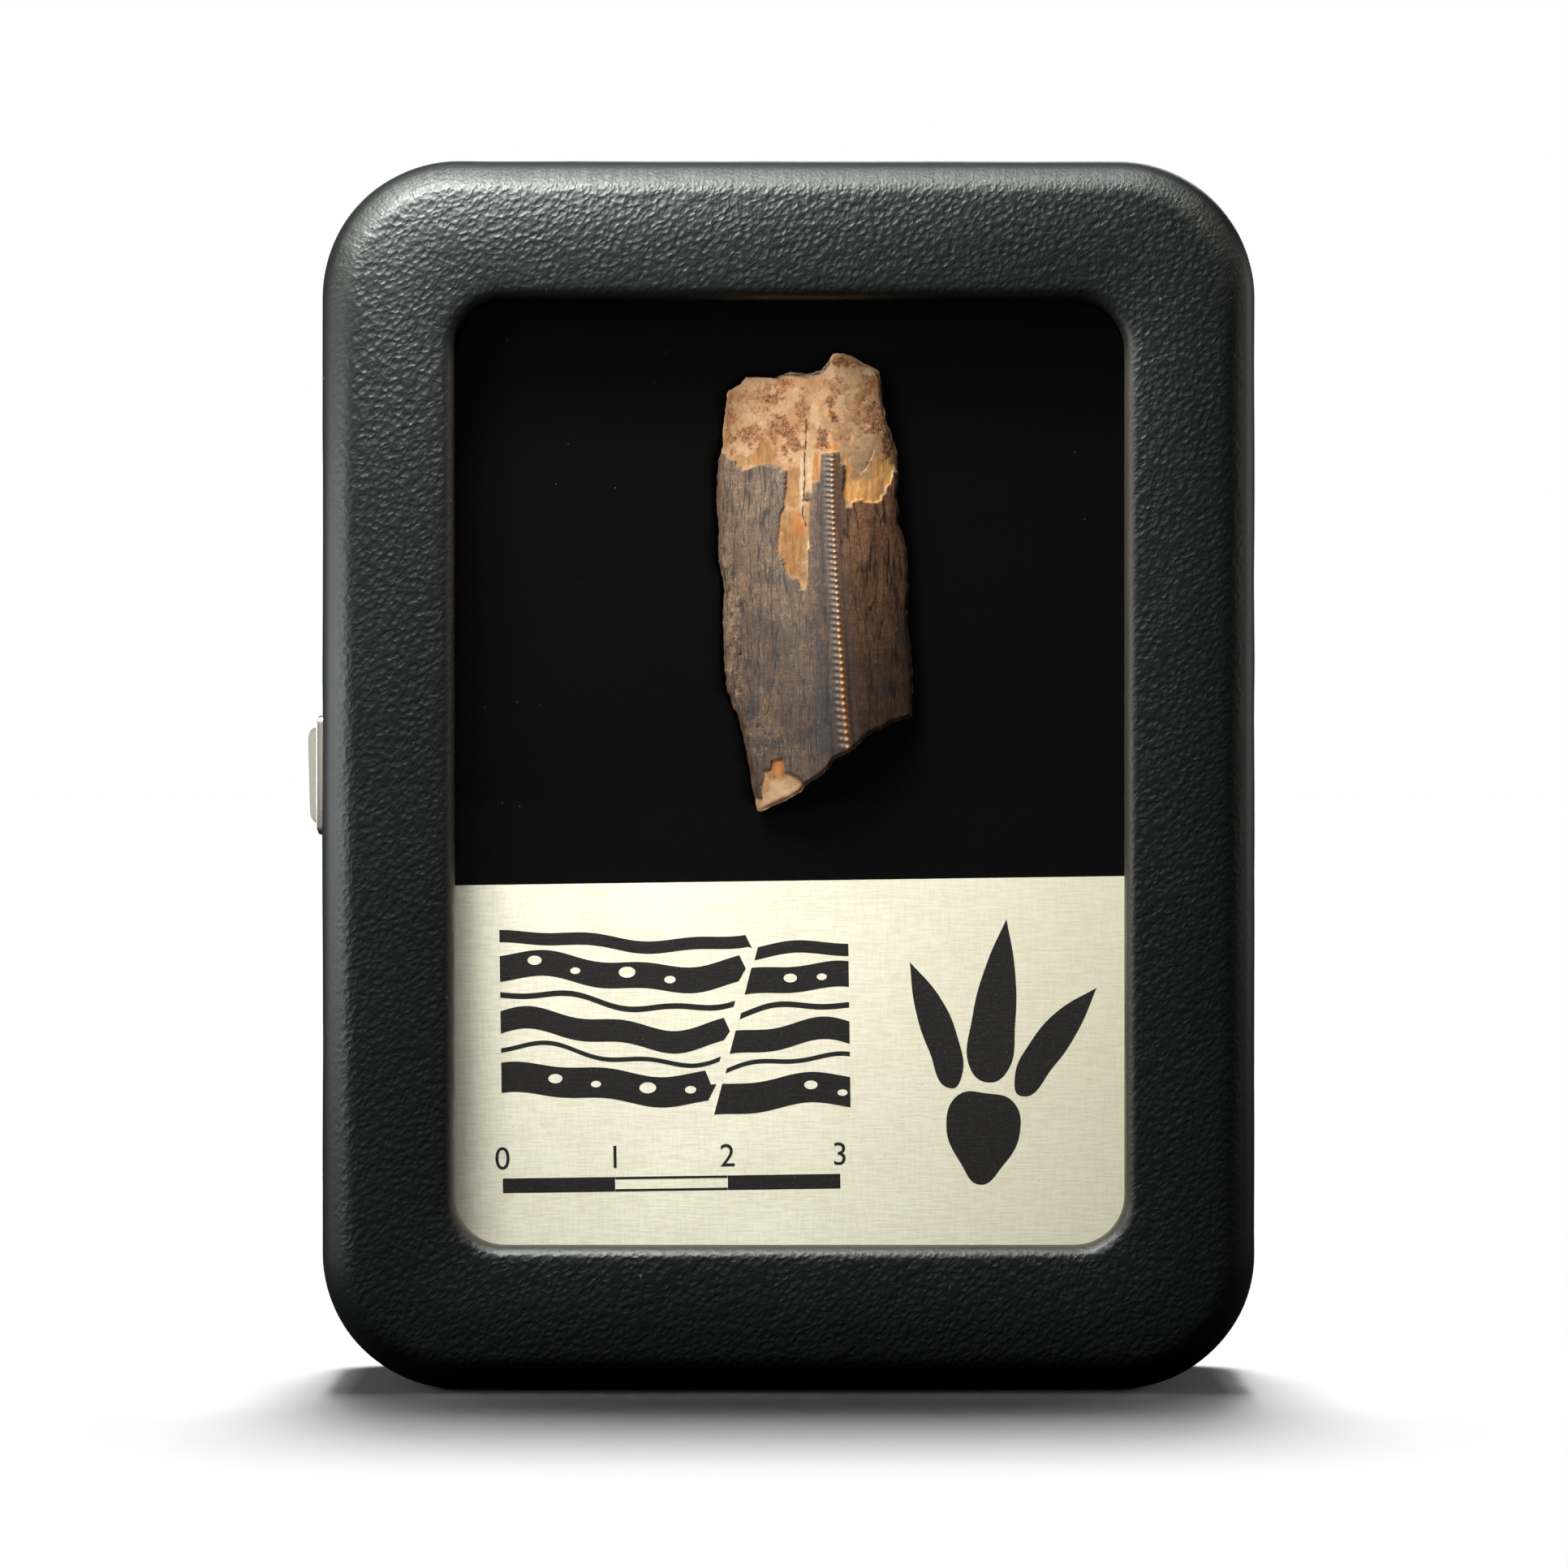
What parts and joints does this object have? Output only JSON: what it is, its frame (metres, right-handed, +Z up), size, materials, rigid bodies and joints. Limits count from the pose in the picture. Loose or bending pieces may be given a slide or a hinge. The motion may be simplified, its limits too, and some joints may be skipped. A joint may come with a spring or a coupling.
{
  "type": "fossil tooth in a hinged display case",
  "caption": "Broken serrated tyrannosaur tooth behind glass in a leatherette display case with a hinged front, a side clasp and a card label.",
  "frame": {"origin": "middle of the bottom edge on which the case stands", "axes": "+Z up along the case's height; -Y towards the viewer, out of the glass; +X to the hinge side"},
  "size_m": [0.0833, 0.025, 0.108],
  "materials": {
    "tooth": "satin",
    "card": "matte",
    "pad": "matte",
    "leatherette": "satin",
    "pane": "polished",
    "retainer": "matte",
    "nickel": "satin"
  },
  "bodies": {
    "base": {"base_shell": "leatherette", "backing_pad": "pad", "tooth": "tooth", "label_card": "card", "hinge_leaf_base_lower": "nickel", "hinge_leaf_base_upper": "nickel", "hinge_pin_lower": "nickel", "hinge_pin_upper": "nickel", "clasp_catch": "nickel"},
    "lid": {"lid_frame": "leatherette", "glass_pane": "pane", "glass_retainer": "retainer", "hinge_leaf_lid_lower": "nickel", "hinge_leaf_lid_upper": "nickel", "clasp_tab": "nickel"}
  },
  "joints": [
    {"name": "lid_hinge", "type": "hinge", "parent": "base", "child": "lid", "pos_m": [0.0398, -0.0025, 0.054], "axis": [0, 0, 1], "range_deg": [0, 95]}
  ]
}
